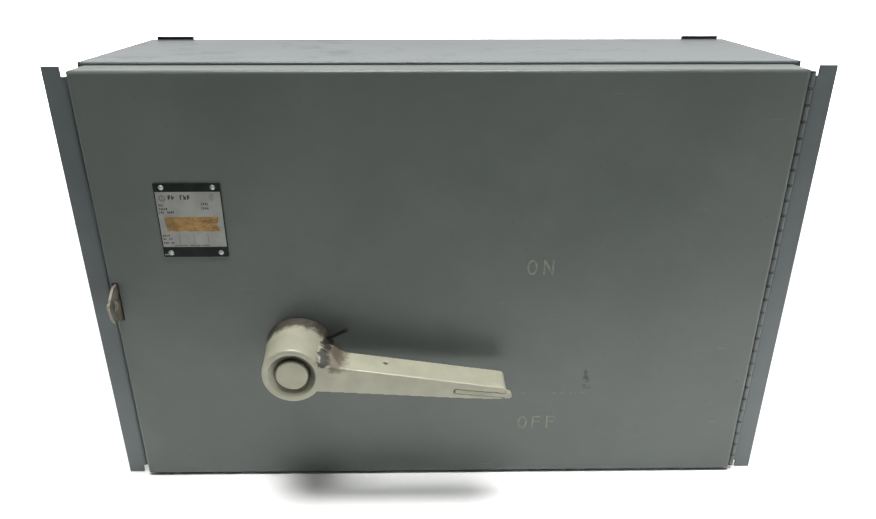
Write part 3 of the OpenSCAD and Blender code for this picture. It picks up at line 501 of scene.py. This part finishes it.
# %% Strokes on a face
def strokes(name, corners, origin, lift, thickness, material, body):
    """corners[k] holds the four corners (right, up) of stroke k, in millimetres
    from `origin`, anticlockwise as seen from the front. The sheet lies `lift`
    millimetres in front of the origin and gets its thickness backwards."""
    flat = np.array(corners, float).reshape(-1, 2) * MM
    points = np.stack([origin[0] + flat[:, 0], np.full(len(flat), origin[1] - lift * MM),
                       origin[2] + flat[:, 1]], -1)
    mesh = bpy.data.meshes.new(name)
    faces = np.arange(len(points)).reshape(-1, 4).tolist()
    mesh.from_pydata(points.tolist(), [], faces)
    mesh.materials.append(material)
    mesh.update()
    piece = place_object(name, mesh)
    coat = piece.modifiers.new("coat", "SOLIDIFY")
    coat.thickness = thickness * MM
    coat.offset = -1
    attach(piece, body)
    return piece


def bar(x0, y0, x1, y1):
    """A rectangle from its lower left to its upper right corner."""
    return [(x0, y0), (x1, y0), (x1, y1), (x0, y1)]


def ring(x, y, width, height, stroke, steps=32):
    """An oval band: outer and inner points share an angle, and each step is one sheet."""
    turn = np.linspace(0, 2 * np.pi, steps + 1)
    outer = np.stack([x + width / 2 * np.cos(turn), y + height / 2 * np.sin(turn)], -1)
    inner = np.stack([x + (width / 2 - stroke) * np.cos(turn), y + (height / 2 - stroke) * np.sin(turn)], -1)
    return np.stack([outer[:-1], outer[1:], inner[1:], inner[:-1]], 1).tolist()


# %% [markdown]
# ## ON and OFF on the door
# The two words were stencilled beside the arc that the arm's tip sweeps, and
# hands have rubbed them nearly away. The ink is a dull tan that a coarse noise
# breaks up, so that the enamel shows through it.

# %% Worn stencil ink
def worn_ink(name, ink, cover):
    """Ink over enamel: the share of ink left changes over a few millimetres."""
    material, tree, shader, place = start_finish(name)
    rubbed = add(tree, "noise", place, per_mm(4.5), 5.0, 0.7)
    left = add(tree, "step", rubbed, 0.40, 0.62, cover[0], cover[1])
    cloud = add(tree, "noise", place, per_mm(150), 5.0, 0.62)
    paint = add(tree, "blend", add(tree, "step", cloud, 0.3, 0.7), srgb(DOOR_TONES[0]), srgb(DOOR_TONES[1]))
    finish_with(tree, shader, Base_Color=add(tree, "blend", left, paint, srgb(ink)),
                Roughness=add(tree, "step", rubbed, 0.3, 0.7, 0.32, 0.42), Specular_IOR_Level=0.32)
    return material


STENCIL_INK = worn_ink("worn_stencil_ink", "8d8a76", (0.25, 0.85))
GHOST_INK = worn_ink("ghost_of_ink", "7d7c6c", (0.0, 0.5))
DARK_STAIN = worn_ink("dark_stain", "323934", (0.0, 0.8))
FACE = (HUB.x, DOOR_Y, HUB.z)
LETTER = 13.6
PEN = 1.5


def letter_o(x, y):
    """An O as an oval band, 8.4 mm wide, from its lower left corner."""
    return ring(x + 4.2, y + LETTER / 2, 8.4, LETTER, PEN)


def letter_n(x, y):
    """An N as two stems and a slope, 8.6 mm wide, from its lower left corner."""
    slope = [(x + PEN, y + LETTER), (x + PEN, y + LETTER - 3.2), (x + 8.6 - PEN, y), (x + 8.6 - PEN, y + 3.2)]
    return [bar(x, y, x + PEN, y + LETTER), slope, bar(x + 8.6 - PEN, y, x + 8.6, y + LETTER)]


def letter_f(x, y):
    """An F as a stem and two bars, 8.2 mm wide, from its lower left corner."""
    top = bar(x + PEN, y + LETTER - PEN, x + 8.2, y + LETTER)
    middle = bar(x + PEN, y + LETTER / 2, x + 6.8, y + LETTER / 2 + PEN)
    return [bar(x, y, x + PEN, y + LETTER), top, middle]


on_mark = letter_o(193.5, 68.7) + letter_n(207.0, 68.7)
off_mark = letter_o(192.5, -87.3) + letter_f(205.5, -87.3) + letter_f(218.5, -87.3)
strokes("on_mark", on_mark, FACE, 0.06, 0.05, STENCIL_INK, "door")
strokes("off_mark", off_mark, FACE, 0.06, 0.05, STENCIL_INK, "door")
ghost_line = [bar(193 + 9 * k, -49.6, 199 + 9 * k, -48.2) for k in range(7)]
strokes("ghost_line", ghost_line, FACE, 0.06, 0.05, GHOST_INK, "door")
stain = [[(248.0, -44.0), (256.0, -44.0), (251.0, -21.0), (249.8, -21.0)]]
strokes("dark_stain", stain, FACE, 0.06, 0.05, DARK_STAIN, "door")
nick = [[(385.9, -39.4), (386.8, -40.0), (388.0, -37.4), (387.0, -36.8)],
        [(387.0, -36.8), (388.0, -37.4), (390.2, -38.6), (389.9, -37.6)]]
strokes("dark_nick", nick, FACE, 0.06, 0.05, DARK_STAIN, "door")
print("door marks:", len(on_mark) + len(off_mark), "letter strokes")

# %% [markdown]
# ## The nameplate's printing
# A black anodised plate carries a silver field with small print in rows, three
# hairlines and a ring in the corner. The print is greeked: each word is a run
# of stems and bars about as dense as type of that size, and spells nothing.
# Rows are measured from the plate's upper left corner.

# %% Print the plate
PLATE_TOP = (PLATE_LOW.x, PLATE_LOW.y, PLATE_HIGH.z)
PRINT_INK = surface("black_print_ink", ("151814", "22251f"), 3, 0.5, 0.01, (0.4, 0.55))
LABEL = surface("etched_aluminium_label", ("8b8d88", "9a9b95"), 16, 0.6, 0.01, (0.34, 0.5), 0.25,
                "a9aba5", 0.3)
SILVER_PRINT = surface("rubbed_silver_print", ("9ea39f", "b7bbb6"), 4, 0.5, 0.01, (0.4, 0.5), 0.2)
greek = np.random.default_rng(7)


def greeked(left, top, width, height):
    """A row of made-up letters: each has a stem and one or two bars, drawn from
    a seeded list, and takes 0.62 of the row's height plus a gap."""
    pen = height * 0.27
    pitch = height * 0.78
    made = []
    for k in range(int(width / pitch)):
        x = left + k * pitch
        base = -top - height
        made.append(bar(x, base, x + pen, -top))
        level = base + greek.choice([0, 0.4, 0.8]) * height
        made.append(bar(x + pen, level, x + 0.55 * height, level + pen))
        if greek.random() > 0.45:
            made.append(bar(x + 0.55 * height - pen, base + pen, x + 0.55 * height, -top - pen))
    return made


def plate_strokes(name, shapes, lift, material):
    """Strokes measured from the nameplate's upper left corner, 0.03 mm thick."""
    return strokes(name, shapes, PLATE_TOP, lift, 0.03, material, "door")


plate_strokes("plate_label", [bar(0.9, -54, 52, -7.4)], 0.05, LABEL)
rows = ((10.6, 10.2, 7.5, 3.6), (20.0, 10.2, 10.5, 3.6), (2.3, 17.4, 4.6, 1.8), (2.2, 20.7, 7.3, 1.8),
        (2.1, 23.5, 5.2, 1.8), (8.4, 23.5, 7.0, 1.8), (36.1, 16.4, 7.4, 1.9), (35.9, 20.2, 6.6, 1.9),
        (1.9, 43.3, 6.0, 1.9), (1.8, 46.2, 3.6, 1.9), (6.6, 46.2, 4.2, 1.9), (1.7, 49.5, 4.6, 1.9),
        (7.6, 49.5, 4.0, 1.9), (10.4, 52.2, 11.0, 1.1), (22.6, 52.2, 8.6, 1.1), (32.0, 52.2, 7.0, 1.1))
printed = sum((greeked(*row) for row in rows), [])
hairlines = [bar(u, -51.4, u + 0.25, -42.9) for u in (14.8, 26.5, 37.8)]
emblem = ring(5.9, -12.7, 4.9, 4.9, 0.45) + [bar(4.9, -13.9, 6.9, -13.5), bar(5.2, -12.2, 6.6, -11.8)]
faint = ring(45.0, -12.0, 3.8, 5.0, 0.4) + [bar(44.8, -15.2, 45.2, -9.0)]
plate_strokes("plate_print", printed + hairlines + emblem, 0.08, PRINT_INK)
plate_strokes("plate_faint_mark", faint, 0.08, worn_ink("faint_print", "6f706a", (0.3, 0.8)))
plate_strokes("plate_silver_mark", greeked(1.2, 60.2, 8.0, 1.2) + ring(4.6, -58.9, 1.8, 1.8, 0.4),
              0.05, SILVER_PRINT)
print("plate strokes:", len(printed) + len(hairlines) + len(emblem))

# %% [markdown]
# ## The worn paper label
# A strip of tan paper was stuck across the plate. Its ends are torn, its
# surface is scuffed through to white, and its corners have lifted slightly. The
# sheet is a grid: one parameter runs along it between two ragged ends, the
# other across it, and the lift grows towards the corners.

# %% Tear the paper label
STICKER_LOW, STICKER_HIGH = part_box("rating_sticker")


def torn_strip(columns, rows_across):
    """x runs between ends that wander by up to 1.2 mm; the right end has a bite taken
    out of its middle; the front lift is 0.25 mm times the fourth power of the
    distance from the middle."""
    ragged = np.random.default_rng(3)
    across = np.linspace(0, 1, rows_across)
    left = STICKER_LOW.x + MM * (1.44 * (1 - across) ** 1.2 + 0.35 * ragged.random(rows_across))
    bite = 2.2 * np.exp(-((across - 0.48) / 0.2) ** 2)
    right = STICKER_HIGH.x - MM * (bite + 0.35 * ragged.random(rows_across))
    along = np.linspace(0, 1, columns)
    x = left[None, :] + along[:, None] * (right - left)[None, :]
    wander = 0.18 * MM * np.sin(along * 31) * np.sin(along * 11 + 1)
    z_low = STICKER_LOW.z + 0.3 * MM + wander
    z_high = STICKER_HIGH.z - 0.3 * MM - wander[::-1]
    z = z_low[:, None] + across[None, :] * (z_high - z_low)[:, None]
    edge = np.abs(2 * along - 1)[:, None] ** 4 + 0.4 * np.abs(2 * across - 1)[None, :] ** 6
    y = STICKER_LOW.y - 0.25 * MM * edge
    return np.stack([x, y, z], -1)


def worn_paper(name):
    """Tan paper: brown smears along it, and scuffs where the white core shows."""
    material, tree, shader, place = start_finish(name)
    drawn = add(tree, "stretch", place, (0, 0, 0), (0.45, 1, 1))
    cloud = add(tree, "noise", drawn, per_mm(5), 5.0, 0.7)
    colour = add(tree, "blend", add(tree, "step", cloud, 0.35, 0.65), srgb("755a31"), srgb("a5814b"))
    smear = add(tree, "noise", drawn, per_mm(2.4), 5.0, 0.7)
    colour = add(tree, "blend", add(tree, "step", smear, 0.56, 0.66, 0.0, 0.6), colour, srgb("5d4526"))
    scuff = add(tree, "noise", place, per_mm(2.2), 5.0, 0.75)
    colour = add(tree, "blend", add(tree, "step", scuff, 0.63, 0.68, 0.0, 0.75), colour, srgb("c3bba4"))
    finish_with(tree, shader, Base_Color=colour, Roughness=add(tree, "step", scuff, 0.3, 0.7, 0.6, 0.85),
                Normal=add(tree, "relief", 0.08 * MM, scuff))
    return material


sticker_mesh = grid_mesh("paper_label", torn_strip(72, 24))
sticker_mesh.materials.append(worn_paper("worn_tan_paper"))
sticker = place_object("paper_label", sticker_mesh)
paper = sticker.modifiers.new("paper", "SOLIDIFY")
paper.thickness = 0.12 * MM
paper.offset = -1
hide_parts("rating_sticker")
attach(sticker, "door")

# %% [markdown]
# ## Bands on the fuses
# Each fuse tube wears a paper band with a coloured stripe at both ends. A band
# is part of a cylinder: the angle runs most of the way round, and the other
# parameter runs along the tube.

# %% Wrap the fuse bands
TUBE_LOW, TUBE_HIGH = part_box("fuse_tubes")
JAW_AXIS_Y = (TUBE_LOW.y + TUBE_HIGH.y) / 2
TUBE_RADIUS = (TUBE_HIGH.y - TUBE_LOW.y) / 2
FUSE_Z = np.linspace(TUBE_LOW.z + TUBE_RADIUS, TUBE_HIGH.z - TUBE_RADIUS, 3)


def fuse_band(name):
    """Cream paper with a blue-grey stripe near each end of the band."""
    material, tree, shader, place = start_finish(name)
    x = add(tree, "axes", place)["X"]
    middle = (TUBE_LOW.x + TUBE_HIGH.x) / 2
    away = add(tree, "size", add(tree, "less", x, middle))
    stripe = add(tree, "multiply", add(tree, "step", away, 0.0275, 0.0278),
                 add(tree, "step", away, 0.0335, 0.0338, 1.0, 0.0))
    aged = add(tree, "noise", place, per_mm(14), 4.0)
    colour = add(tree, "blend", add(tree, "step", aged, 0.35, 0.65), srgb("c9c3ac"), srgb("d8d3bf"))
    colour = add(tree, "blend", stripe, colour, srgb("40566b"))
    finish_with(tree, shader, Base_Color=colour, Roughness=add(tree, "step", aged, 0.3, 0.7, 0.45, 0.6))
    return material


def bands():
    """Point (angle, x): y = axis - r cos(angle), z = axis + r sin(angle), for each fuse."""
    angle = np.radians(np.linspace(-150, 150, 72))
    x = np.linspace(TUBE_LOW.x + 22 * MM, TUBE_HIGH.x - 22 * MM, 2)
    radius = TUBE_RADIUS + 0.15 * MM
    angle, x = np.meshgrid(angle, x, indexing="ij")
    return [np.stack([x, JAW_AXIS_Y - radius * np.cos(angle), z + radius * np.sin(angle)], -1)
            for z in FUSE_Z]


BAND_PAPER = fuse_band("banded_fuse_paper")
for number, points in enumerate(bands(), 1):
    band_mesh = grid_mesh(f"fuse_band_{number}", points)
    band_mesh.materials.append(BAND_PAPER)
    band_mesh.shade_smooth()
    band = place_object(f"fuse_band_{number}", band_mesh)
    wrap = band.modifiers.new("paper", "SOLIDIFY")
    wrap.thickness = 0.12 * MM
    wrap.offset = 0
    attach(band, "enclosure")

# %% [markdown]
# ## Floor, light and camera
# The switch stands on a plain pale floor. One long soft light with a grid hangs
# just in front of the door, so that the handle's top is bright while the door
# gets its light from the floor, more of it at the lower right. A large light
# behind keeps the floor white, and a weak one stands low at the front right. The
# world is bright only behind, like a room with one white wall.

# %% Studio
FLOOR_REACH = 9.0
floor_corners = [(x * FLOOR_REACH, y * FLOOR_REACH, 0) for x, y in ((-1, -1), (1, -1), (1, 1), (-1, 1))]
floor_mesh = bpy.data.meshes.new("floor")
floor_mesh.from_pydata(floor_corners, [], [(0, 1, 2, 3)])
floor = place_object("floor", floor_mesh)
floor_paint, floor_tree, floor_shader, floor_place = start_finish("pale_floor")
floor_cloud = add(floor_tree, "noise", floor_place, per_mm(300))
floor_tone = add(floor_tree, "blend", floor_cloud, srgb("f2f2f1"), srgb("f6f6f5"))
finish_with(floor_tree, floor_shader, Base_Color=floor_tone, Roughness=0.85)
floor_mesh.materials.append(floor_paint)


def softbox(name, spot, target, width, height, watts, spread=180):
    """A rectangular area light at `spot` that faces `target`; a grid on its front
    keeps the light within `spread` degrees."""
    lamp = bpy.data.lights.new(name, "AREA")
    lamp.shape = "RECTANGLE"
    lamp.size = width
    lamp.size_y = height
    lamp.energy = watts
    lamp.spread = math.radians(spread)
    made = bpy.data.objects.new(name, lamp)
    made.location = spot
    made.rotation_euler = (Vector(target) - Vector(spot)).to_track_quat("-Z", "Y").to_euler()
    bpy.context.scene.collection.objects.link(made)


softbox("overhead_softbox", (0.5, -0.27, 1.3), (0.5, -0.27, 0), 1.9, 0.4, 6.6, 42)
softbox("background_softbox", (0, 2.6, 3.2), (0, 5.6, 0), 9.0, 3.5, 1400)
softbox("low_front_fill", (1.2, -1.0, 0.35), (0.25, -0.1, 0.08), 0.7, 0.5, 1.5)

world = bpy.data.worlds.new("studio")
world.use_nodes = True
sky = world.node_tree
lean = add(sky, "dot", add(sky, "way"), (0.03, 0.95, 0.3))
finish_with(sky, sky.nodes["Background"], Color=srgb("ffffff"),
            Strength=add(sky, "step", lean, 0.05, 0.8, 0.03, 0.98))
bpy.context.scene.world = world
bpy.context.scene.view_settings.view_transform = "Standard"

# A wide lens, close in front of the door and looking down at it
camera_data = bpy.data.cameras.new("camera")
camera_data.lens = 28.44
camera_data.sensor_width = 36
camera = bpy.data.objects.new("camera", camera_data)
camera.location = (-0.0098, -0.6309, 0.4504)
camera.rotation_euler = (math.radians(66.35), 0, math.radians(-0.75))
bpy.context.scene.collection.objects.link(camera)
bpy.context.scene.camera = camera
